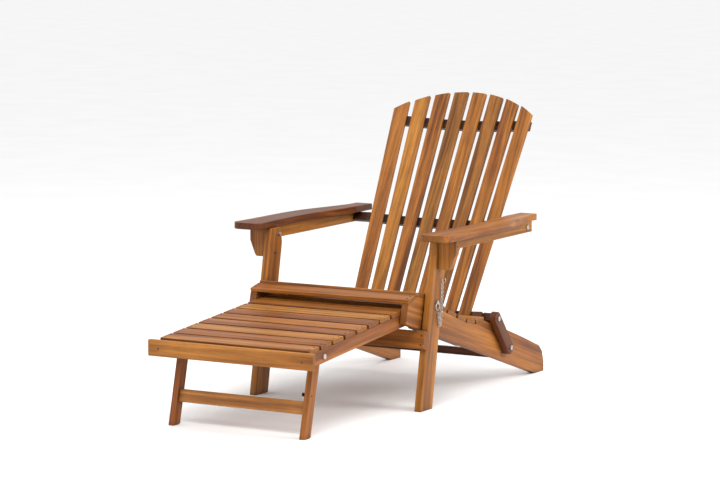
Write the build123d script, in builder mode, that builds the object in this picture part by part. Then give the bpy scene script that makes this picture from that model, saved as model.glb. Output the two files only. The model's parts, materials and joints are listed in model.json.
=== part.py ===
"""Folding adirondack chair with a pull-out ottoman. Millimetres, +Z up, the sitter faces -Y."""

import os
from math import atan2, cos, degrees, hypot, radians, sin, sqrt

from build123d import *

os.makedirs("parts", exist_ok=True)

# Depths below are measured rearward from the toe of the front legs; this puts the
# middle of the whole object's depth at Y = 0.
centre_y = 147.798

# Boards
frame_t = 22.0          # legs, stringers, links and arm rails
slat_t = 12.5           # seat slats
back_slat_t = 12.0
rail_t = 18.0           # front cross rail and stretcher
edge_r = 2.0            # eased edges of the boards
small_edge_r = 1.2
play = 0.05             # running clearance round every bolt and pin

# Widths measured from the middle plane
stringer_x = 248.5      # inner face of a stringer
leg_x = 273.0           # inner face of a front leg
link_x = 272.0          # inner face of a link
arm_rail_x = leg_x + frame_t
seat_half = stringer_x + frame_t

# Folding linkage: pivots as (depth, height)
pivot_leg = (138.0, 477.0)
pivot_arm = (634.0, 481.0)
pivot_back = (492.2, 213.3)
pivot_link = (575.6, 112.7)
lock_pin = (94.5, 312.0)

# Back
back_lean = radians(28.8)
slat_count = 8
arch_top = 755.0        # along the back, from the lower pivot to the crown of the arch
arch_r = 438.0
slat_bottom = -14.0
slat_front = -21.5      # face of the middle slats, measured from the lower pivot
slat_rake = 0.0303      # extra lean of the slats past the line through the pivots
slat_pitch = 53.9
slat_fan = 0.0143       # growth of the pitch per millimetre up the back
slat_w = 39.5
slat_flare = 0.0125     # growth of each slat's width per millimetre up the back
back_gap = 1.3          # clearance between the slats and the curved rails

# Ottoman
ottoman_half = 247.0
ottoman_slats = 9
ottoman_pitch = 66.3
ottoman_slat_w = 56.0
ottoman_slat_t = 13.0
ottoman_slope = atan2(0.0932, 1.0)
ottoman_pivot = (-467.6, 226.4)

# Hardware
bolt_r = 4.0
bolt_head_r = 7.5
bolt_head_t = 3.5
nut_r = 6.5
nut_t = 4.5
screw_head_r = 3.3
screw_head_t = 2.6
screw_sunk = 0.8
screw_r = 1.7
screw_gap = 0.05
wire_r = 1.3

SIDES = ((1, "left"), (-1, "right"))


def side_plane(x):
    """Side view at width x: first coordinate is the depth, second the height."""
    return Plane(origin=(x, -centre_y, 0), x_dir=(0, 1, 0), z_dir=(1, 0, 0))


def board_start(side, inner_x, thickness):
    """Width at which a board starts, so that extruding toward +X always fills it."""
    return inner_x if side > 0 else -inner_x - thickness


def world(x, point):
    """Point in space from a width and a (depth, height) pair."""
    return Vector(x, point[0] - centre_y, point[1])


def save(builder, label):
    builder.part.label = label
    export_step(builder.part, f"parts/{label}.step")


def bore(x, point, radius, length):
    """Hole along the width, centred on x."""
    with Locations(Location(world(x, point), (0, 90, 0))):
        Cylinder(radius, length, mode=Mode.SUBTRACT)


def screw_holes(places, length):
    """Sunk clearance holes at places whose +Z points out of the wood."""
    with Locations(*places):
        Cylinder(
            screw_head_r + screw_gap,
            screw_sunk + screw_head_t + screw_gap,
            align=(Align.CENTER, Align.CENTER, Align.MAX),
            mode=Mode.SUBTRACT,
        )
        Cylinder(
            screw_r + screw_gap,
            length + screw_gap,
            align=(Align.CENTER, Align.CENTER, Align.MAX),
            mode=Mode.SUBTRACT,
        )


def pilot_holes(places, length):
    """Holes for the shanks in the piece behind."""
    with Locations(*places):
        Cylinder(
            screw_r + screw_gap,
            length + screw_gap,
            align=(Align.CENTER, Align.CENTER, Align.MAX),
            mode=Mode.SUBTRACT,
        )


def screws(places, length):
    """Wood screws with a pan head sunk in the surface."""
    heads = [place * Location((0, 0, -screw_sunk)) for place in places]
    with Locations(*heads):
        Cylinder(
            screw_head_r,
            screw_head_t,
            align=(Align.CENTER, Align.CENTER, Align.MAX),
        )
        Cylinder(
            screw_r,
            length - screw_sunk,
            align=(Align.CENTER, Align.CENTER, Align.MAX),
        )


def bolt(side, point, head_from, shank_to, nut_from=None):
    """A domed bolt along the width, its head outside, with a nut where nut_from is given."""
    reach = head_from - shank_to
    with Locations(Location(world(side * (shank_to + reach / 2), point), (0, 90, 0))):
        Cylinder(bolt_r, reach)
    with Locations(Location(world(side * (head_from + bolt_head_t / 2), point), (0, 90, 0))):
        Cylinder(bolt_head_r, bolt_head_t)
    if nut_from is not None:
        with BuildSketch(side_plane(side * nut_from)) as nut:
            with Locations(point):
                RegularPolygon(nut_r, 6)
        extrude(nut.sketch, amount=-side * nut_t)


# ---------------------------------------------------------------- seat stringers
stringer_slope = 0.314
stringer_nose = (-44.5, 262.7)


def stringer_under(y):
    """Height of the stringer's lower edge at depth y."""
    return stringer_nose[1] - stringer_slope * (y - stringer_nose[0])


# Points of the dished upper edge; each pair carries one seat slat.
dish = [
    (18.0, 336.8),
    (85.0, 323.5),
    (145.0, 294.3),
    (206.0, 264.8),
    (267.0, 242.0),
    (328.0, 220.6),
    (387.0, 208.6),
    (446.0, 211.6),
]
nose_rest = [(-29.5, 320.7), (17.4, 331.5)]
slat_gap = 10.0
nose_t = 11.0
nose_over = 0.2         # the nose slat stands this far past the stringers
seat_screw_len = 34.0
rear_rail_screw_len = 40.0
runner_screw_len = 32.0
foot = [(792.0, 0.0), (848.0, 0.0), (848.5, 31.0), (837.0, 65.5), (815.0, 86.0), (781.0, 98.0)]


def chord(i):
    """Start, unit run and length of the flat that carries seat slat i."""
    a = dish[i]
    b = dish[i + 1]
    length = hypot(b[0] - a[0], b[1] - a[1])
    return a, ((b[0] - a[0]) / length, (b[1] - a[1]) / length), length


def slat_span(i):
    """Front and rear end of a seat slat along its flat."""
    length = chord(i)[2]
    front = 1.0 if i == 0 else slat_gap / 2
    return front, length - slat_gap / 2


def surface_place(x, start, run, along, rise):
    """Place above a flat, +Z square to it."""
    y = start[0] + run[0] * along - run[1] * rise
    z = start[1] + run[1] * along + run[0] * rise
    return Location(world(x, (y, z)), (degrees(atan2(run[1], run[0])), 0, 0))


def slat_screw_places(i):
    start, run, _ = chord(i)
    front, rear = slat_span(i)
    width = rear - front
    return [
        surface_place(side * (stringer_x + frame_t / 2), start, run, front + width * share, slat_t)
        for side, _ in SIDES
        for share in (0.25, 0.75)
    ]


nose_len = hypot(nose_rest[1][0] - nose_rest[0][0], nose_rest[1][1] - nose_rest[0][1])
nose_run = (
    (nose_rest[1][0] - nose_rest[0][0]) / nose_len,
    (nose_rest[1][1] - nose_rest[0][1]) / nose_len,
)
nose_screws = [
    surface_place(side * (stringer_x + frame_t / 2), nose_rest[0], nose_run, nose_len * share, nose_t)
    for side, _ in SIDES
    for share in (0.3, 0.7)
]
seat_screws_at = [place for i in range(len(dish) - 1) for place in slat_screw_places(i)]

rear_rail_section = [(548.0, 80.5), (566.0, 80.5), (566.0, 103.5), (548.0, 103.5)]
rear_rail_screws = [
    Location(world(side * seat_half, (557.0, z)), (0, side * 90, 0))
    for side, _ in SIDES
    for z in (87.0, 97.0)
]

runner_depth = (38.0, 330.0)
runner_height = 18.6
runner_t = 17.0
runner_lift = 1.5
runner_top = [(y, stringer_under(y) + runner_height) for y in runner_depth]
runner_screws = [
    Location(
        world(side * (stringer_x - runner_t), (y, stringer_under(y) + runner_height / 2)),
        (0, -side * 90, 0),
    )
    for side, _ in SIDES
    for y in (90.0, 190.0, 290.0)
]

for side, name in SIDES:
    with BuildPart() as stringer:
        start = board_start(side, stringer_x, frame_t)
        with BuildSketch(side_plane(start)):
            with BuildLine():
                Polyline(stringer_nose, *nose_rest, *dish)
                Spline(
                    dish[-1],
                    (505.0, 192.5),
                    (590.0, 165.0),
                    (690.0, 131.0),
                    foot[-1],
                )
                Polyline(*foot[::-1], stringer_nose)
            make_face()
        extrude(amount=frame_t)
        fillet(stringer.faces().sort_by(Axis.X)[-1].edges(), radius=small_edge_r)
        fillet(stringer.faces().sort_by(Axis.X)[0].edges(), radius=small_edge_r)
        middle = side * (stringer_x + frame_t / 2)
        bore(middle, pivot_link, bolt_r + play, frame_t * 2)
        bore(middle, lock_pin, bolt_r + play, frame_t * 2)
        mine = [p for p in seat_screws_at + nose_screws if p.position.X * side > 0]
        pilot_holes(mine, seat_screw_len)
        screw_holes([p for p in rear_rail_screws if p.position.X * side > 0], rear_rail_screw_len)
        pilot_holes([p for p in runner_screws if p.position.X * side > 0], runner_screw_len)
    save(stringer, f"stringer_{name}")

for i in range(len(dish) - 1):
    start, run, length = chord(i)
    front, rear = slat_span(i)
    corners = [
        (start[0] + run[0] * a - run[1] * r, start[1] + run[1] * a + run[0] * r)
        for a, r in ((front, 0), (rear, 0), (rear, slat_t), (front, slat_t))
    ]
    with BuildPart() as seat_slat:
        with BuildSketch(side_plane(-seat_half)):
            Polygon(*corners, align=None)
        extrude(amount=2 * seat_half)
        fillet(seat_slat.edges(), radius=edge_r)
        screw_holes(slat_screw_places(i), seat_screw_len)
    save(seat_slat, f"seat_slat_{i + 1}")

with BuildPart() as nose_slat:
    with BuildSketch(side_plane(-seat_half - nose_over)):
        Polygon(
            nose_rest[0],
            nose_rest[1],
            (nose_rest[1][0] - nose_run[1] * nose_t, nose_rest[1][1] + nose_run[0] * nose_t),
            (nose_rest[0][0] - nose_run[1] * nose_t, nose_rest[0][1] + nose_run[0] * nose_t),
            align=None,
        )
    extrude(amount=2 * (seat_half + nose_over))
    fillet(nose_slat.edges(), radius=edge_r)
    screw_holes(nose_screws, seat_screw_len)
save(nose_slat, "nose_slat")

with BuildPart() as rear_rail:
    with BuildSketch(side_plane(-stringer_x)):
        Polygon(*rear_rail_section, align=None)
    extrude(amount=2 * stringer_x)
    fillet(rear_rail.edges().filter_by(Axis.X), radius=edge_r)
    pilot_holes(rear_rail_screws, rear_rail_screw_len)
save(rear_rail, "rear_under_rail")

with BuildPart() as runners:
    for side, _ in SIDES:
        start = board_start(side, stringer_x - runner_t, runner_t)
        with BuildSketch(side_plane(start)):
            Polygon(
                (runner_depth[0], stringer_under(runner_depth[0]) + runner_lift),
                (runner_depth[1], stringer_under(runner_depth[1]) + runner_lift),
                runner_top[1],
                runner_top[0],
                align=None,
            )
        extrude(amount=runner_t)
    screw_holes(runner_screws, runner_screw_len)
save(runners, "runners")

with BuildPart() as seat_screws:
    screws(seat_screws_at + nose_screws, seat_screw_len)
    screws(rear_rail_screws, rear_rail_screw_len)
    screws(runner_screws, runner_screw_len)
save(seat_screws, "seat_screws")

# ---------------------------------------------------------------- front leg frame
leg_lean = 0.189
leg_w = 71.0
lean_len = hypot(1.0, leg_lean)
lean_up = (leg_lean / lean_len, 1.0 / lean_len)
lean_front = (-1.0 / lean_len, leg_lean / lean_len)
leg_top = 497.4
leg_shoulder = 450.0
leg_outline = [
    (0.0, 0.0),
    (leg_w, 0.0),
    (leg_w + leg_lean * leg_shoulder, leg_shoulder),
    (149.0, 490.0),
    (142.0, leg_top),
    (leg_lean * leg_top, leg_top),
]
cross_z = (180.0, 232.5)
bracket_y = 102.0
bracket_t = 20.0
bracket_outline = [(0, 497.6), (60, 497.6), (60, 458), (43, 415), (37, 409), (0, 409)]


def on_leg_front(z, out):
    """Point a distance out from the front edge of the legs."""
    return (leg_lean * z + lean_front[0] * out, z + lean_front[1] * out)


leg_lean_deg = degrees(atan2(leg_lean, 1.0))
cross_screws = [
    Location(world(side * (leg_x + frame_t / 2), on_leg_front(z, rail_t)), (90 - leg_lean_deg, 0, 0))
    for side, _ in SIDES
    for z in (192.0, 219.0)
]
bracket_screws = [
    Location(world(side * (arm_rail_x + reach), (bracket_y + bracket_t / 2, z)), (0, side * 90, 0))
    for side, _ in SIDES
    for reach, z in ((60.0, 478.0), (45.55, 421.5))
]
bracket_screw_len = 74.0
cross_screw_len = 50.0
eye_at = (121.0, 376.0)
eye_r = 6.0
eye_wire = 1.2
eye_depth = 10.0        # how far the eye's shank is screwed into the leg

for side, name in SIDES:
    with BuildPart() as front_leg:
        start = board_start(side, leg_x, frame_t)
        with BuildSketch(side_plane(start)):
            Polygon(*leg_outline, align=None)
        extrude(amount=frame_t)
        fillet(front_leg.edges(), radius=edge_r)
        middle = side * (leg_x + frame_t / 2)
        bore(middle, pivot_leg, bolt_r + play, frame_t * 2)
        bore(middle, lock_pin, bolt_r + play, frame_t * 2)
        bore(side * (arm_rail_x - eye_depth / 2), eye_at, eye_wire + play, eye_depth + 4 * play)
        pilot_holes([p for p in cross_screws if p.position.X * side > 0], cross_screw_len)
        pilot_holes([p for p in bracket_screws if p.position.X * side > 0], bracket_screw_len)
    save(front_leg, f"front_leg_{name}")

with BuildPart() as cross_rail:
    with BuildSketch(side_plane(-arm_rail_x)):
        Polygon(
            on_leg_front(cross_z[0], 0),
            on_leg_front(cross_z[1], 0),
            on_leg_front(cross_z[1], rail_t),
            on_leg_front(cross_z[0], rail_t),
            align=None,
        )
    extrude(amount=2 * arm_rail_x)
    fillet(cross_rail.edges(), radius=edge_r)
    screw_holes(cross_screws, cross_screw_len)
save(cross_rail, "front_cross_rail")

bracket_plane = Plane(origin=(0, bracket_y - centre_y, 0), x_dir=(1, 0, 0), z_dir=(0, -1, 0))
with BuildPart() as brackets:
    for side, _ in SIDES:
        with BuildSketch(bracket_plane):
            Polygon(*[(side * (arm_rail_x + x), z) for x, z in bracket_outline], align=None)
        extrude(amount=-bracket_t)
    fillet(brackets.edges(), radius=edge_r)
    screw_holes(bracket_screws, bracket_screw_len)
save(brackets, "arm_brackets")

with BuildPart() as leg_screws:
    screws(cross_screws, cross_screw_len)
    screws(bracket_screws, bracket_screw_len)
save(leg_screws, "leg_screws")

# ---------------------------------------------------------------- arms
arm_top = 518.6
arm_t = 20.0
arm_rail_top = arm_top - arm_t
arm_rail_low = (462.0, 465.0)
arm_rail_y = (124.0, 667.0)
arm_gap = 0.3           # between the arm rail and the leg
arm_inner = 265.5
arm_outer = 322.0

for side, name in SIDES:
    with BuildPart() as arm:
        with BuildSketch(Plane(origin=(0, -centre_y, arm_top - arm_t))):
            with BuildLine():
                Line((side * 293.0, 20.0), (side * 345.0, 20.0))
                ThreePointArc((side * 345.0, 20.0), (side * 364.0, 30.0), (side * 371.5, 56.0))
                Spline(
                    (side * 371.5, 56.0),
                    (side * 372.5, 230.0),
                    (side * 369.0, 405.0),
                    (side * 337.0, 560.0),
                    (side * arm_outer, 635.0),
                )
                Polyline(
                    (side * arm_outer, 635.0),
                    (side * arm_outer, 690.0),
                    (side * arm_inner, 690.0),
                    (side * arm_inner, 590.0),
                )
                Spline(
                    (side * arm_inner, 590.0),
                    (side * 276.5, 480.0),
                    (side * 285.5, 330.0),
                    (side * 281.0, 150.0),
                    (side * 275.0, 48.0),
                )
                ThreePointArc((side * 275.0, 48.0), (side * 279.0, 27.0), (side * 293.0, 20.0))
            make_face()
        extrude(amount=arm_t)
        fillet(arm.faces().sort_by(Axis.Z)[-1].edges(), radius=edge_r)
        fillet(arm.faces().sort_by(Axis.Z)[0].edges(), radius=edge_r)
    save(arm, f"arm_{name}")

    with BuildPart() as arm_rail:
        start = board_start(side, arm_rail_x + arm_gap, frame_t)
        with BuildSketch(side_plane(start)) as rail_profile:
            Polygon(
                (arm_rail_y[0], arm_rail_low[0]),
                (arm_rail_y[1], arm_rail_low[1]),
                (arm_rail_y[1], arm_rail_top),
                (arm_rail_y[0], arm_rail_top),
                align=None,
            )
            fillet(rail_profile.vertices().group_by(Axis.Y)[0].sort_by(Axis.X)[0], radius=13.0)
        extrude(amount=frame_t)
        fillet(arm_rail.faces().sort_by(Axis.X)[-1].edges(), radius=small_edge_r)
        fillet(arm_rail.faces().sort_by(Axis.X)[0].edges(), radius=small_edge_r)
        middle = side * (arm_rail_x + frame_t / 2)
        bore(middle, pivot_leg, bolt_r + play, frame_t * 2)
        bore(middle, pivot_arm, bolt_r + play, frame_t * 2)
    save(arm_rail, f"arm_rail_{name}")

back_bolt_tip = 255.0
arm_head_x = arm_rail_x + arm_gap + frame_t + 0.1
with BuildPart() as arm_bolts:
    for side, _ in SIDES:
        bolt(side, pivot_leg, arm_head_x, leg_x - 5.5, nut_from=leg_x - 0.3)
        bolt(side, pivot_arm, arm_head_x, back_bolt_tip)
save(arm_bolts, "arm_bolts")

# ---------------------------------------------------------------- back
back_up = Vector(0, sin(back_lean), cos(back_lean))
back_rear = Vector(0, cos(back_lean), -sin(back_lean))
back_base = world(0, pivot_back)
hollow_low = 0.0006       # curvature across the back at the lower pivot, per millimetre
hollow_growth = 2.5e-7


def curve_r(s):
    """Radius of the hollow across the back at distance s up from the lower pivot."""
    return 1.0 / (hollow_low + hollow_growth * s)


def hollow(x, s):
    """How far behind the pivot plane the front of the slats lies."""
    r = curve_r(s)
    return slat_front + slat_rake * s - (r - sqrt(r * r - x * x))


def on_back(x, s, o):
    return back_base + Vector(x, 0, 0) + back_up * s + back_rear * o


def slat_centre(i, s):
    return i * (slat_pitch + slat_fan * s)


def slat_width(s):
    return slat_w + slat_flare * s


for n in range(slat_count):
    i = n - (slat_count - 1) / 2
    reach = 640.0
    low = on_back(slat_centre(i, 0), 0, hollow(slat_centre(i, 0), 0))
    high = on_back(slat_centre(i, reach), reach, hollow(slat_centre(i, reach), reach))
    up = (high - low).normalized()
    r_mid = curve_r(reach / 2)
    x_mid = slat_centre(i, reach / 2)
    across = Vector(1, 0, 0) - back_rear * (x_mid / sqrt(r_mid * r_mid - x_mid * x_mid))
    across = (across - up * across.dot(up)).normalized()
    slat_plane = Plane(origin=low, x_dir=across, z_dir=across.cross(up))

    def crown(u, top):
        """Height of the arch over the slat at u across it."""
        x = slat_centre(i, top) + u
        return arch_top - (arch_r - sqrt(arch_r * arch_r - x * x))

    top_s = crown(0, arch_top - 40.0)
    half_top = slat_width(top_s) / 2
    half_low = slat_width(slat_bottom) / 2
    with BuildPart() as back_slat:
        with BuildSketch(slat_plane):
            with BuildLine():
                Polyline(
                    (-half_top, crown(-half_top, top_s)),
                    (-half_low, slat_bottom),
                    (half_low, slat_bottom),
                    (half_top, crown(half_top, top_s)),
                )
                ThreePointArc(
                    (half_top, crown(half_top, top_s)),
                    (0, crown(0, top_s)),
                    (-half_top, crown(-half_top, top_s)),
                )
            make_face()
        extrude(amount=-back_slat_t)
        fillet(back_slat.edges(), radius=edge_r)
    save(back_slat, f"back_slat_{n + 1}")


def back_plane(s):
    """Plane square to the back at s: first coordinate is the width, second rearward."""
    return Plane(origin=on_back(0, s, 0), x_dir=(1, 0, 0), z_dir=back_up)


def curved_rail(s_low, s_high, half, thick):
    """A rail sawn to the hollow of the back, behind the slats."""
    s_mid = (s_low + s_high) / 2
    front_mid = hollow(0, s_mid) + back_slat_t + back_gap
    front_end = hollow(half, s_mid) + back_slat_t + back_gap
    with BuildSketch(back_plane(s_low)) as profile:
        with BuildLine():
            ThreePointArc((-half, front_end), (0, front_mid), (half, front_end))
            Line((half, front_end), (half, front_end + thick))
            ThreePointArc((half, front_end + thick), (0, front_mid + thick), (-half, front_end + thick))
            Line((-half, front_end + thick), (-half, front_end))
        make_face()
    extrude(profile.sketch, amount=s_high - s_low)


def rail_end(side, s, o, tall, thick, x_from, x_to):
    """A rounded end block of a back rail, centred on its pivot."""
    start = x_from if side > 0 else -x_to
    with BuildSketch(Plane(origin=on_back(start, s, o), x_dir=back_rear, z_dir=(1, 0, 0))) as block:
        RectangleRounded(thick, tall, 4.0)
    extrude(block.sketch, amount=x_to - x_from)


with BuildPart() as top_rail:
    curved_rail(629.0, 660.0, 241.0, 18.0)
    fillet(top_rail.edges(), radius=edge_r)
save(top_rail, "back_top_rail")

# The arm pivot measured along and square to the back
arm_dy = pivot_arm[0] - pivot_back[0]
arm_dz = pivot_arm[1] - pivot_back[1]
arm_pivot_s = arm_dy * sin(back_lean) + arm_dz * cos(back_lean)
arm_pivot_o = arm_dy * cos(back_lean) - arm_dz * sin(back_lean)
blind_l = 50.0          # length of the blind bolt holes in the rails' ends
blind_end = 1.0         # left past the tip of each bolt
rail_half = 246.0
with BuildPart() as mid_rail:
    curved_rail(287.0, 315.0, rail_half, 20.0)
    fillet(mid_rail.edges(), radius=edge_r)
    for side, _ in SIDES:
        rail_end(side, arm_pivot_s, arm_pivot_o, 29.0, 19.0, rail_half - 12.0, 294.6)
    for side, _ in SIDES:
        bore(side * (back_bolt_tip - blind_end + blind_l / 2), pivot_arm, bolt_r + play, blind_l)
save(mid_rail, "back_mid_rail")

link_bolt_tip = 240.0
with BuildPart() as lower_rail:
    curved_rail(slat_bottom, 9.5, rail_half, 20.0)
    fillet(lower_rail.edges(), radius=edge_r)
    for side, _ in SIDES:
        rail_end(side, -2.6, -9.0, 21.0, 35.0, 214.0, rail_half + 1.0)
        rail_end(side, 0.0, 0.0, 28.0, 19.0, rail_half - 2.0, 271.5)
    for side, _ in SIDES:
        bore(side * (link_bolt_tip - blind_end + blind_l / 2), pivot_back, bolt_r + play, blind_l)
save(lower_rail, "back_lower_rail")

# ---------------------------------------------------------------- links
link_w = 37.0
link_r = 13.0
link_shift = 1.5        # the bolts stand this far behind the middle of the board
link_dy = pivot_link[0] - pivot_back[0]
link_dz = pivot_link[1] - pivot_back[1]
link_mid = ((pivot_link[0] + pivot_back[0]) / 2 - link_shift, (pivot_link[1] + pivot_back[1]) / 2)

for side, name in SIDES:
    with BuildPart() as link:
        start = board_start(side, link_x, frame_t)
        with BuildSketch(side_plane(start)):
            with Locations(link_mid):
                RectangleRounded(
                    hypot(link_dy, link_dz) + link_w,
                    link_w,
                    link_r,
                    rotation=degrees(atan2(link_dz, link_dy)),
                )
        extrude(amount=frame_t)
        fillet(link.edges(), radius=edge_r)
        middle = side * (link_x + frame_t / 2)
        bore(middle, pivot_back, bolt_r + play, frame_t * 2)
        bore(middle, pivot_link, bolt_r + play, frame_t * 2)
    save(link, f"link_{name}")

with BuildPart() as link_bolts:
    for side, _ in SIDES:
        bolt(side, pivot_back, link_x + frame_t + 0.1, link_bolt_tip)
        bolt(side, pivot_link, link_x + frame_t + 0.1, stringer_x - 6.5, nut_from=stringer_x - 0.3)
save(link_bolts, "link_bolts")

# ---------------------------------------------------------------- lock pins
pin_tip = leg_x + 0.5
pin_head = arm_rail_x + 6.0
ring_r = 11.0
for side, name in SIDES:
    with BuildPart() as pin:
        with Locations(Location(world(side * (pin_tip + pin_head) / 2, lock_pin), (0, 90, 0))):
            Cylinder(bolt_r, pin_head - pin_tip)
        with Locations(Location(world(side * (pin_head - 1.5), lock_pin), (0, 90, 0))):
            Cylinder(bolt_r + 1.8, 3.0)
        ring_at = (lock_pin[0], lock_pin[1] - ring_r)
        with Locations(Location(world(side * (pin_head - 1.5), ring_at), (0, 90, 0))):
            Torus(ring_r, wire_r)
    save(pin, f"lock_pin_{name}")

# Eye screwed in each leg, with a chain of wire links hanging to the pin's ring
wire_link_r = 4.0
wire_link_wire = 0.8
wire_link_pitch = 6.0
chain_x = arm_rail_x + 5.5
chain_start = (eye_at[0] - 1.0, eye_at[1] - eye_r - 1.0)
chain_end = (lock_pin[0] + 3.0, lock_pin[1] - 2 * ring_r - 6.0)
chain_sag = 78.0


def chain_point(t):
    """Hanging curve from the eye to the ring."""
    y = chain_start[0] + (chain_end[0] - chain_start[0]) * t
    z = chain_start[1] + (chain_end[1] - chain_start[1]) * t
    return (y, z - chain_sag * 4 * t * (1 - t))


def chain_links():
    """Middle and slope of every link, one pitch apart along the hanging curve."""
    links = []
    steps = 4000
    before = chain_point(0)
    travelled = 0.0
    due = wire_link_pitch / 2
    for n in range(1, steps + 1):
        here = chain_point(n / steps)
        travelled += hypot(here[0] - before[0], here[1] - before[1])
        if travelled >= due:
            links.append((here, degrees(atan2(here[1] - before[1], here[0] - before[0]))))
            due += wire_link_pitch
        before = here
    return links


with BuildPart() as chains:
    for side, _ in SIDES:
        with Locations(Location(world(side * (arm_rail_x - 3.0), eye_at), (0, 90, 0))):
            Cylinder(eye_wire, eye_depth + 4.0)
        with Locations(Location(world(side * (arm_rail_x + 4.0 + eye_r), eye_at), (90, 0, 0))):
            Torus(eye_r, eye_wire)
        for k, (middle, angle) in enumerate(chain_links()):
            place = Location(world(side * chain_x, middle), (angle, 0, 0))
            turn = Location((0, 0, 0), (0, 90 * (k % 2), 0))
            with Locations(place * turn):
                Torus(wire_link_r, wire_link_wire)
save(chains, "lock_chains")

# ---------------------------------------------------------------- ottoman
board_y = -571.0
board_t = 16.0
board_half = 273.0
board_z = (201.0, 248.0)
ottoman_rail_x = 229.0
ottoman_rail_t = 18.0
rail_drop = 38.5
first_slat = (-547.7, 252.7)
ottoman_run = (cos(ottoman_slope), sin(ottoman_slope))
rail_tail = 52.0
ottoman_screw_len = 26.0
board_screw_len = 44.0


def ottoman_top(y):
    """Height of the ottoman slats' upper faces at depth y."""
    return first_slat[1] + (y - first_slat[0]) * ottoman_run[1] / ottoman_run[0]


def rail_upper(y):
    return ottoman_top(y) - ottoman_slat_t / ottoman_run[0]


def ottoman_screw_places(k):
    over_rail = ottoman_rail_x + ottoman_rail_t / 2
    return [
        surface_place(side * over_rail, first_slat, ottoman_run, k * ottoman_pitch + d, 0.0)
        for side, _ in SIDES
        for d in (14.0, 42.0)
    ]


board_screws = [
    Location(world(side * (ottoman_rail_x + ottoman_rail_t / 2), (board_y, 223.5)), (90, 0, 0))
    for side, _ in SIDES
]
ottoman_screws_at = [place for k in range(ottoman_slats) for place in ottoman_screw_places(k)]

for side, name in SIDES:
    with BuildPart() as ottoman_rail:
        start = board_start(side, ottoman_rail_x, ottoman_rail_t)
        front = board_y + board_t
        with BuildSketch(side_plane(start)):
            Polygon(
                (front, rail_upper(front)),
                (front, rail_upper(front) - rail_drop + 1.0),
                (-514.0, rail_upper(-514.0) - rail_drop),
                (rail_tail - 12.0, rail_upper(rail_tail - 12.0) - rail_drop),
                (rail_tail, rail_upper(rail_tail) - rail_drop + 12.0),
                (rail_tail, rail_upper(rail_tail)),
                align=None,
            )
        extrude(amount=ottoman_rail_t)
        fillet(ottoman_rail.faces().sort_by(Axis.X)[-1].edges(), radius=small_edge_r)
        fillet(ottoman_rail.faces().sort_by(Axis.X)[0].edges(), radius=small_edge_r)
        bore(side * (ottoman_rail_x + ottoman_rail_t / 2), ottoman_pivot, bolt_r + play, ottoman_rail_t * 2)
        pilot_holes([p for p in ottoman_screws_at if p.position.X * side > 0], ottoman_screw_len)
        pilot_holes([p for p in board_screws if p.position.X * side > 0], board_screw_len)
    save(ottoman_rail, f"ottoman_rail_{name}")

for k in range(ottoman_slats):
    a = k * ottoman_pitch
    corners = [
        (
            first_slat[0] + ottoman_run[0] * u + ottoman_run[1] * drop,
            first_slat[1] + ottoman_run[1] * u - ottoman_run[0] * drop,
        )
        for u, drop in (
            (a, 0),
            (a + ottoman_slat_w, 0),
            (a + ottoman_slat_w, ottoman_slat_t),
            (a, ottoman_slat_t),
        )
    ]
    with BuildPart() as ottoman_slat:
        with BuildSketch(side_plane(-ottoman_half)):
            Polygon(*corners, align=None)
        extrude(amount=2 * ottoman_half)
        fillet(ottoman_slat.edges(), radius=edge_r)
        screw_holes(ottoman_screw_places(k), ottoman_screw_len)
    save(ottoman_slat, f"ottoman_slat_{k + 1}")

with BuildPart() as ottoman_board:
    with BuildSketch(side_plane(-board_half)):
        Polygon(
            (board_y, board_z[0]),
            (board_y + board_t, board_z[0]),
            (board_y + board_t, board_z[1]),
            (board_y, board_z[1]),
            align=None,
        )
    extrude(amount=2 * board_half)
    fillet(ottoman_board.edges(), radius=edge_r)
    screw_holes(board_screws, board_screw_len)
save(ottoman_board, "ottoman_board")

with BuildPart() as ottoman_screws:
    screws(ottoman_screws_at, ottoman_screw_len)
    screws(board_screws, board_screw_len)
save(ottoman_screws, "ottoman_screws")

# ---------------------------------------------------------------- ottoman legs
ottoman_leg_x = 208.4
ottoman_leg_w = 34.0
toe = (-540.0, -511.0)
wing_bolt_r = 2.5
wing_side = 1           # only the leg on the sitter's left has one
wing_at = (-500.0, 118.0)
stretch_z = (65.0, 101.0)
stretch_set = 12.0
leg_run = hypot(ottoman_pivot[0] - (toe[0] + toe[1]) / 2 - 2.0, ottoman_pivot[1])
tilt = atan2(ottoman_pivot[0] - (toe[0] + toe[1]) / 2 - 2.0, ottoman_pivot[1])


def on_leg(along, across):
    """Point on an ottoman leg: along is measured down from its pivot."""
    return (
        ottoman_pivot[0] - sin(tilt) * along + cos(tilt) * across,
        ottoman_pivot[1] - cos(tilt) * along - sin(tilt) * across,
    )


half_leg = ottoman_leg_w / 2
for side, name in SIDES:
    with BuildPart() as ottoman_leg:
        start = board_start(side, ottoman_leg_x, rail_t)
        with BuildSketch(side_plane(start)) as leg_profile:
            with BuildLine():
                front_foot = (on_leg(leg_run, -half_leg)[0] + 1.0, 0.0)
                Polyline(
                    on_leg(0, -half_leg),
                    front_foot,
                    (front_foot[0] + 26.0, 0.0),
                    on_leg(leg_run - 8.0, half_leg),
                    on_leg(0, half_leg),
                )
                ThreePointArc(on_leg(0, half_leg), on_leg(-half_leg, 0), on_leg(0, -half_leg))
            make_face()
        extrude(amount=rail_t)
        fillet(ottoman_leg.faces().sort_by(Axis.X)[-1].edges(), radius=small_edge_r)
        fillet(ottoman_leg.faces().sort_by(Axis.X)[0].edges(), radius=small_edge_r)
        middle = side * (ottoman_leg_x + rail_t / 2)
        bore(middle, ottoman_pivot, bolt_r + play, rail_t * 2)
        if side == wing_side:
            bore(middle, wing_at, wing_bolt_r + play, rail_t * 2)
    save(ottoman_leg, f"ottoman_leg_{name}")

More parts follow.
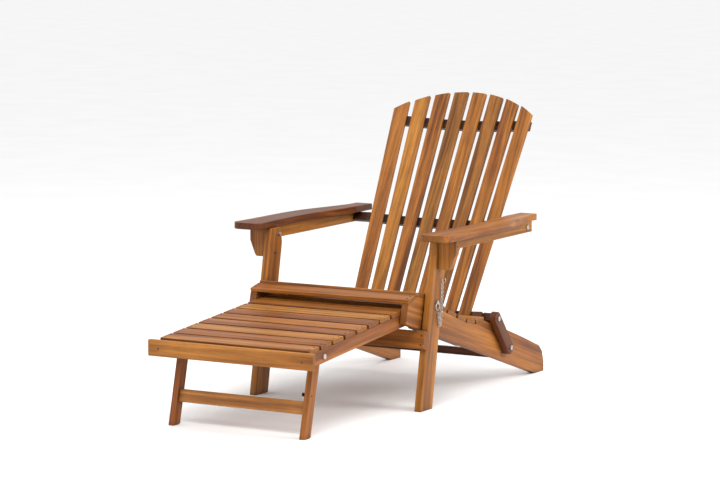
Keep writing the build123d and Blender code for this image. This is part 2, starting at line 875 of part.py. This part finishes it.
stretch_along = [(ottoman_pivot[1] - z) / cos(tilt) for z in stretch_z]
with BuildPart() as stretcher:
    with BuildSketch(side_plane(-ottoman_leg_x)):
        Polygon(
            on_leg(stretch_along[0], -half_leg + stretch_set),
            on_leg(stretch_along[1], -half_leg + stretch_set),
            on_leg(stretch_along[1], -half_leg + stretch_set + rail_t),
            on_leg(stretch_along[0], -half_leg + stretch_set + rail_t),
            align=None,
        )
    extrude(amount=2 * ottoman_leg_x)
    fillet(stretcher.edges().filter_by(Axis.X), radius=edge_r)
save(stretcher, "ottoman_stretcher")

with BuildPart() as ottoman_bolts:
    for side, _ in SIDES:
        head_x = ottoman_rail_x + ottoman_rail_t + 0.1
        bolt(side, ottoman_pivot, head_x, ottoman_leg_x - 5.0, nut_from=ottoman_leg_x - 0.3)
save(ottoman_bolts, "ottoman_pivot_bolts")

wing_span = 11.0
wing_l = rail_t + 8.0
wing_bolt_end = ottoman_leg_x + rail_t - 4.0
with BuildPart() as wing_nut:
    with Locations(Location(world(wing_side * (wing_bolt_end - wing_l / 2), wing_at), (0, 90, 0))):
        Cylinder(wing_bolt_r, wing_l)
    with Locations(Location(world(wing_side * (ottoman_leg_x - 2.8), wing_at), (0, 90, 0))):
        Cylinder(5.5, 5.0)
    for turn in (1, -1):
        wing = (wing_at[0] + turn * 8.0, wing_at[1] + 4.0)
        with Locations(Location(world(wing_side * (ottoman_leg_x - 4.5), wing), (turn * 20, 0, 0))):
            Box(2.4, wing_span, 9.0)
save(wing_nut, "wing_nut")
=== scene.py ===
import json
from math import cos, radians, sin

import bpy
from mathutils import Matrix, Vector


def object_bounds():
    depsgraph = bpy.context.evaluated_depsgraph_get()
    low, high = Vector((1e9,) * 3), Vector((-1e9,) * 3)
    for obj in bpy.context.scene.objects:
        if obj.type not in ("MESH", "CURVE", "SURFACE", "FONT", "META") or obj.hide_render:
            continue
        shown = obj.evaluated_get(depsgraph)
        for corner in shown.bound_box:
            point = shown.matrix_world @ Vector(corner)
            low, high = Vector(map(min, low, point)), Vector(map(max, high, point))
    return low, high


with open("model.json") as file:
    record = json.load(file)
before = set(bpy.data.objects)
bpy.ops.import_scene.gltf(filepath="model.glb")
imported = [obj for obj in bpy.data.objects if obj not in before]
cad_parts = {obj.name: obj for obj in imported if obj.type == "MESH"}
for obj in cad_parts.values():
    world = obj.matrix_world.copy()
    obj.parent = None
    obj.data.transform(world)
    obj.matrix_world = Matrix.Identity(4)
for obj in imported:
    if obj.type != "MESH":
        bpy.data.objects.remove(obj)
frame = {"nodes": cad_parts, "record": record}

nodes = frame["nodes"]
scene = bpy.context.scene
cad_low, cad_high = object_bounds()

# ---------------------------------------------------------------- camera
camera_data = bpy.data.cameras.new("camera")
camera_data.lens = 144.56
camera_data.sensor_width = 36.0
camera_data.clip_end = 300.0
camera = bpy.data.objects.new("camera", camera_data)
camera.location = (4.3153, -7.4179, 1.5055)
camera.rotation_euler = (radians(83.14), 0.0, radians(30.16))
scene.collection.objects.link(camera)
scene.camera = camera


# ---------------------------------------------------------------- node helpers
class Graph:
    """Short calls for building one material's node graph."""

    def __init__(self, name):
        self.material = bpy.data.materials.new(name)
        self.material.use_nodes = True
        self.tree = self.material.node_tree
        self.shader = self.tree.nodes["Principled BSDF"]

    def add(self, kind, **settings):
        node = self.tree.nodes.new(kind)
        for key, value in settings.items():
            setattr(node, key, value)
        return node

    def put(self, socket, value):
        if isinstance(value, bpy.types.NodeSocket):
            self.tree.links.new(value, socket)
        else:
            socket.default_value = value

    def math(self, operation, a, b=0.0, clamp=False):
        node = self.add("ShaderNodeMath", operation=operation, use_clamp=clamp)
        self.put(node.inputs[0], a)
        self.put(node.inputs[1], b)
        return node.outputs[0]

    def vector(self, operation, a, b):
        node = self.add("ShaderNodeVectorMath", operation=operation)
        self.put(node.inputs[0], a)
        self.put(node.inputs[1], b)
        return node.outputs["Value"] if operation == "DOT_PRODUCT" else node.outputs[0]

    def mapping(self, vector, rotation=(0, 0, 0), scale=(1, 1, 1)):
        node = self.add("ShaderNodeMapping")
        self.put(node.inputs["Vector"], vector)
        node.inputs["Rotation"].default_value = rotation
        node.inputs["Scale"].default_value = scale
        return node.outputs[0]

    def noise(self, vector, scale, detail=4.0, roughness=0.55, distortion=0.0):
        node = self.add("ShaderNodeTexNoise")
        self.put(node.inputs["Vector"], vector)
        node.inputs["Scale"].default_value = scale
        node.inputs["Detail"].default_value = detail
        node.inputs["Roughness"].default_value = roughness
        node.inputs["Distortion"].default_value = distortion
        return node.outputs["Fac"]

    def ramp(self, factor, stops):
        node = self.add("ShaderNodeValToRGB")
        elements = node.color_ramp.elements
        while len(elements) < len(stops):
            elements.new(0.5)
        for element, (place, colour) in zip(elements, stops):
            element.position = place
            element.color = (*colour, 1.0)
        self.put(node.inputs[0], factor)
        return node.outputs["Color"]

    def grey(self, factor, low, high, dark=0.0, light=1.0):
        return self.ramp(factor, [(low, (dark,) * 3), (high, (light,) * 3)])

    def mix(self, blend, factor, a, b):
        node = self.add("ShaderNodeMix", data_type="RGBA", blend_type=blend)
        self.put(node.inputs[0], factor)
        self.put(node.inputs[6], a)
        self.put(node.inputs[7], b)
        return node.outputs[2]


# ---------------------------------------------------------------- wood
smoothest = 0.28        # roughness of the wood where its oil film is whole
edge_width = 0.0022     # metres of worn corner along each board
joint_shade_reach = 0.022     # how far from a joint the painted shade darkens the wood, in metres


def wood(name, grain, tones, streak, seed):
    """Oiled acacia with its grain along the direction given, streaks, pores and end grain."""
    light, middle, dark = tones
    g = Graph(name)
    to_grain = Vector(grain).normalized().rotation_difference(Vector((1, 0, 0))).to_euler()
    place = g.add("ShaderNodeTexCoord")
    own = g.add("ShaderNodeObjectInfo").outputs["Random"]    # a fixed number for each piece
    along = g.mapping(place.outputs["Object"], rotation=to_grain)
    shift = g.add("ShaderNodeCombineXYZ")
    for axis, amount in enumerate((7.0, 13.0, 5.0)):
        g.put(shift.inputs[axis], g.math("MULTIPLY", own, amount))
    board = g.vector("ADD", along, shift.outputs[0])
    board = g.vector("ADD", board, (seed, seed * 0.37, seed * 0.71))

    # broad bands of heartwood and sapwood, long along the board
    bands = g.noise(g.mapping(board, scale=(1.1, 16.0, 16.0)), 1.0, 3.0, 0.5, 1.2)
    streaks = g.noise(g.mapping(board, scale=(2.2, 85.0, 85.0)), 1.0, 5.0, 0.62, 0.6)
    fibres = g.noise(g.mapping(board, scale=(9.0, 620.0, 620.0)), 1.0, 3.0, 0.6)
    pores = g.noise(g.mapping(board, scale=(26.0, 900.0, 900.0)), 1.0, 2.0, 0.5)
    blotch = g.noise(board, 9.0, 3.0, 0.55, 0.8)

    tone = g.math("ADD", g.math("MULTIPLY", bands, 0.62), g.math("MULTIPLY", streaks, 0.38))
    colour = g.ramp(tone, [(0.36, dark), (0.5, middle), (0.63, light)])
    colour = g.mix("MULTIPLY", streak, colour, g.grey(streaks, 0.38, 0.58, 0.50, 1.08))
    colour = g.mix("MULTIPLY", 0.55, colour, g.grey(fibres, 0.35, 0.65, 0.72, 1.12))
    colour = g.mix("MULTIPLY", 0.5, colour, g.grey(pores, 0.30, 0.40, 0.42, 1.0))
    colour = g.mix("MULTIPLY", 0.45, colour, g.grey(blotch, 0.35, 0.68, 0.72, 1.10))

    # each board is cut from its own plank
    plank = g.add("ShaderNodeHueSaturation")
    g.put(plank.inputs["Hue"], g.math("ADD", g.math("MULTIPLY", own, 0.008), 0.496))
    g.put(plank.inputs["Value"], g.math("ADD", g.math("MULTIPLY", own, 0.16), 0.94))
    g.put(plank.inputs["Color"], colour)
    colour = plank.outputs[0]

    # corners worn a little paler; shade painted into the joints as darker wood
    bevel = g.add("ShaderNodeBevel", samples=6)
    bevel.inputs["Radius"].default_value = edge_width
    flat = g.vector("DOT_PRODUCT", bevel.outputs[0], g.add("ShaderNodeNewGeometry").outputs["Normal"])
    worn = g.grey(g.math("ADD", g.math("MULTIPLY", blotch, 0.05), flat), 0.93, 1.0, 1.0, 0.0)
    rubbed = (*[c * 1.25 for c in light], 1.0)
    colour = g.mix("MIX", g.math("MULTIPLY", worn, 0.22), colour, rubbed)
    # painted shade: ambient occlusion darkens the wood colour near joints and hollows
    painted_joint_shade = g.add("ShaderNodeAmbientOcclusion", samples=6)
    painted_joint_shade.inputs["Distance"].default_value = joint_shade_reach
    colour = g.mix("MULTIPLY", 0.8, colour, g.grey(painted_joint_shade.outputs["AO"], 0.25, 0.95, 0.22, 1.0))

    # sawn ends drink more oil and show the rings
    facing = g.vector("DOT_PRODUCT", place.outputs["Normal"], tuple(Vector(grain).normalized()))
    end = g.grey(g.math("ABSOLUTE", facing), 0.80, 0.92)
    rings = g.noise(g.mapping(board, scale=(40.0, 150.0, 150.0)), 1.0, 4.0, 0.6, 1.5)
    soaked = (*[c * 0.62 for c in middle], 1.0)
    end_colour = g.mix("MULTIPLY", 0.8, soaked, g.grey(rings, 0.35, 0.65, 0.55, 1.15))
    colour = g.mix("MIX", g.math("MULTIPLY", end, 0.75), colour, end_colour)
    g.put(g.shader.inputs["Base Color"], colour)

    rough = g.math("ADD", g.math("MULTIPLY", fibres, 0.22), g.math("MULTIPLY", blotch, 0.16))
    g.put(g.shader.inputs["Roughness"], g.math("ADD", rough, smoothest, clamp=True))
    g.shader.inputs["Specular IOR Level"].default_value = 0.26

    height = g.math("ADD", g.math("MULTIPLY", fibres, 0.6), g.math("MULTIPLY", streaks, 0.4))
    height = g.math("ADD", height, g.math("MULTIPLY", pores, 0.5))
    bump = g.add("ShaderNodeBump")
    bump.inputs["Strength"].default_value = 0.22
    bump.inputs["Distance"].default_value = 0.0006
    g.put(bump.inputs["Height"], height)
    g.put(g.shader.inputs["Normal"], bump.outputs[0])
    return g.material


def metal(name, light, dark, roughness, grime):
    """Plated steel with faint blotches of grime and fine scratches."""
    g = Graph(name)
    place = g.add("ShaderNodeTexCoord").outputs["Object"]
    blotch = g.noise(place, 140.0, 4.0, 0.6)
    scratch = g.noise(g.mapping(place, scale=(2400.0, 260.0, 2400.0)), 1.0, 2.0, 0.5)
    colour = g.mix("MIX", g.grey(blotch, 0.35, 0.7, 0.0, grime), (*light, 1.0), (*dark, 1.0))
    g.put(g.shader.inputs["Base Color"], colour)
    g.shader.inputs["Metallic"].default_value = 1.0
    spread = g.math("ADD", g.math("MULTIPLY", blotch, 0.25), g.math("MULTIPLY", scratch, 0.15))
    g.put(g.shader.inputs["Roughness"], g.math("ADD", spread, roughness - 0.2, clamp=True))
    bump = g.add("ShaderNodeBump")
    bump.inputs["Strength"].default_value = 0.15
    bump.inputs["Distance"].default_value = 0.0002
    g.put(bump.inputs["Height"], scratch)
    g.put(g.shader.inputs["Normal"], bump.outputs[0])
    return g.material


# ---------------------------------------------------------------- grain directions
stringer_fall = 0.314
leg_lean = 0.189
back_lean = radians(28.8)
link_run, link_fall = 83.4, 100.6
ottoman_rise = 0.0932
ottoman_leg_lean = 0.22

ACROSS = (1.0, 0.0, 0.0)
DEPTH = (0.0, 1.0, 0.0)
UPRIGHT = (0.0, 0.0, 1.0)
STRINGER = (0.0, 1.0, -stringer_fall)
LEG = (0.0, leg_lean, 1.0)
BACK = (0.0, sin(back_lean), cos(back_lean))
LINK = (0.0, link_run, -link_fall)
OTTOMAN = (0.0, 1.0, ottoman_rise)
OTTOMAN_LEG = (0.0, ottoman_leg_lean, 1.0)

# ---------------------------------------------------------------- finishes
# light, middle and dark tones of each kind of board
golden = ((0.400, 0.160, 0.027), (0.300, 0.106, 0.015), (0.170, 0.050, 0.008))
orange = ((0.355, 0.128, 0.020), (0.262, 0.083, 0.012), (0.142, 0.038, 0.006))
brown = ((0.330, 0.135, 0.026), (0.235, 0.086, 0.014), (0.128, 0.040, 0.008))
pale = ((0.520, 0.240, 0.060), (0.400, 0.165, 0.036), (0.240, 0.085, 0.018))
warm = ((0.400, 0.155, 0.025), (0.300, 0.104, 0.015), (0.165, 0.048, 0.008))
reddish = ((0.205, 0.060, 0.011), (0.140, 0.035, 0.006), (0.075, 0.017, 0.003))
# painted shade: a far darker copy of the acacia tones, standing in for the shade under the seat
painted_shade_brown = ((0.140, 0.044, 0.010), (0.088, 0.025, 0.006), (0.045, 0.012, 0.003))

plain_figure = 0.5
strong_figure = 0.7

# the last one is the right arm's own board
boards = {
    "stringer_wood": (STRINGER, orange, plain_figure),
    "seat_wood": (ACROSS, golden, plain_figure),
    "nose_wood": (ACROSS, orange, plain_figure),
    # painted shade: the under rail takes the darker tone for the shade it sits in
    "under_wood": (ACROSS, painted_shade_brown, plain_figure),
    "leg_wood": (LEG, golden, plain_figure),
    "cross_wood": (ACROSS, orange, plain_figure),
    "bracket_wood": (UPRIGHT, golden, plain_figure),
    "arm_wood": (DEPTH, golden, plain_figure),
    "arm_rail_wood": (DEPTH, golden, plain_figure),
    "back_wood_gold": (BACK, golden, plain_figure),
    "back_wood_red": (BACK, warm, strong_figure),
    "back_wood_brown": (BACK, brown, strong_figure),
    # painted shade: the back rail takes the same darker tone
    "back_rail_wood": (ACROSS, painted_shade_brown, plain_figure),
    "link_wood": (LINK, reddish, plain_figure),
    "ottoman_wood_a": (ACROSS, golden, plain_figure),
    "ottoman_wood_b": (ACROSS, orange, plain_figure),
    "board_wood": (ACROSS, golden, plain_figure),
    "ottoman_rail_wood": (OTTOMAN, orange, plain_figure),
    "ottoman_leg_wood": (OTTOMAN_LEG, orange, plain_figure),
    "stretcher_wood": (ACROSS, pale, plain_figure),
    "arm_right_wood": (DEPTH, reddish, strong_figure),
}
finishes = {}
for number, (name, (grain, tones, figure)) in enumerate(boards.items(), 1):
    finishes[name] = wood(name, grain, tones, figure, float(number))
finishes["zinc"] = metal("zinc", (0.56, 0.54, 0.50), (0.24, 0.22, 0.20), 0.42, 0.7)
finishes["screw_steel"] = metal("screw_steel", (0.13, 0.10, 0.08), (0.05, 0.035, 0.028), 0.6, 0.9)
finishes["black_iron"] = metal("black_iron", (0.06, 0.055, 0.05), (0.02, 0.018, 0.016), 0.55, 0.8)

# pieces that differ from the others in their slot
finish_of_node = {"arm_right": "arm_right_wood", "wing_nut": "black_iron"}

for part in frame["record"]["subparts"]:
    slots = nodes[part["node"]].data.materials
    slots.clear()
    slots.append(finishes[finish_of_node.get(part["node"], part["material_slot"])])

# ---------------------------------------------------------------- studio
reach = 120.0
corners = [(-reach, -reach, 0), (reach, -reach, 0), (reach, reach, 0), (-reach, reach, 0)]
floor_mesh = bpy.data.meshes.new("floor")
floor_mesh.from_pydata(corners, [], [(0, 1, 2, 3)])
floor = bpy.data.objects.new("floor", floor_mesh)
scene.collection.objects.link(floor)
paper = Graph("floor_paper")
paper_place = paper.add("ShaderNodeTexCoord").outputs["Object"]
paper_tone = paper.grey(paper.noise(paper_place, 3.0), 0.3, 0.7, 0.90, 0.93)
paper.put(paper.shader.inputs["Base Color"], paper_tone)
paper.shader.inputs["Roughness"].default_value = 0.9
floor_mesh.materials.append(paper.material)

world = bpy.data.worlds.new("studio")
scene.world = world
world.use_nodes = True
backdrop = world.node_tree.nodes["Background"]
backdrop.inputs["Color"].default_value = (1.0, 1.0, 1.0, 1.0)
backdrop.inputs["Strength"].default_value = 1.0


def softbox(name, offset, size, power, colour=(1.0, 1.0, 1.0)):
    """A square lamp that stands off the middle of the chair and faces it."""
    light = bpy.data.lights.new(name, "AREA")
    light.shape = "RECTANGLE"
    light.size = light.size_y = size
    light.energy = power
    light.color = colour
    lamp = bpy.data.objects.new(name, light)
    lamp.location = chair_middle + Vector(offset)
    lamp.rotation_euler = (-Vector(offset)).to_track_quat("-Z", "Y").to_euler()
    scene.collection.objects.link(lamp)


chair_middle = (cad_low + cad_high) / 2
softbox("key", (1.6, -3.2, 3.2), 2.0, 120.0, (1.0, 0.985, 0.96))
softbox("side", (3.6, 0.6, 1.8), 1.6, 70.0)
softbox("top", (0.0, 0.3, 3.6), 2.4, 45.0)

scene.view_settings.view_transform = "Standard"
scene.view_settings.look = "None"
